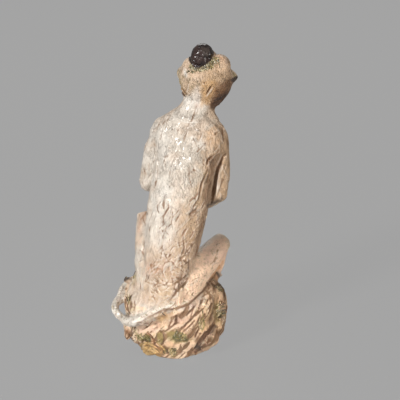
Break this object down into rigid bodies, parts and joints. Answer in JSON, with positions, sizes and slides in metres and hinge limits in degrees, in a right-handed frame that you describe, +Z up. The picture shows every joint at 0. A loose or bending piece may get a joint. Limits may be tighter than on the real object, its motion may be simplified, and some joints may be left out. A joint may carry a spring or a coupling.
{
  "type": "meerkat sculpture",
  "caption": "Glazed stoneware sculpture of a meerkat sitting upright on a boulder, face lifted to the sky, tail curled round the rock.",
  "frame": {"origin": "centre of the flat underside, on the plane that the sculpture stands on", "axes": "+Z up along the body; the animal faces -Y and its own right side is -X"},
  "size_m": [0.1259, 0.1245, 0.327],
  "materials": {
    "glazed_stoneware": "satin glaze, cream with brown in the hollows"
  },
  "bodies": {
    "root": {"meerkat_sculpture": "glazed_stoneware"}
  },
  "joints": []
}
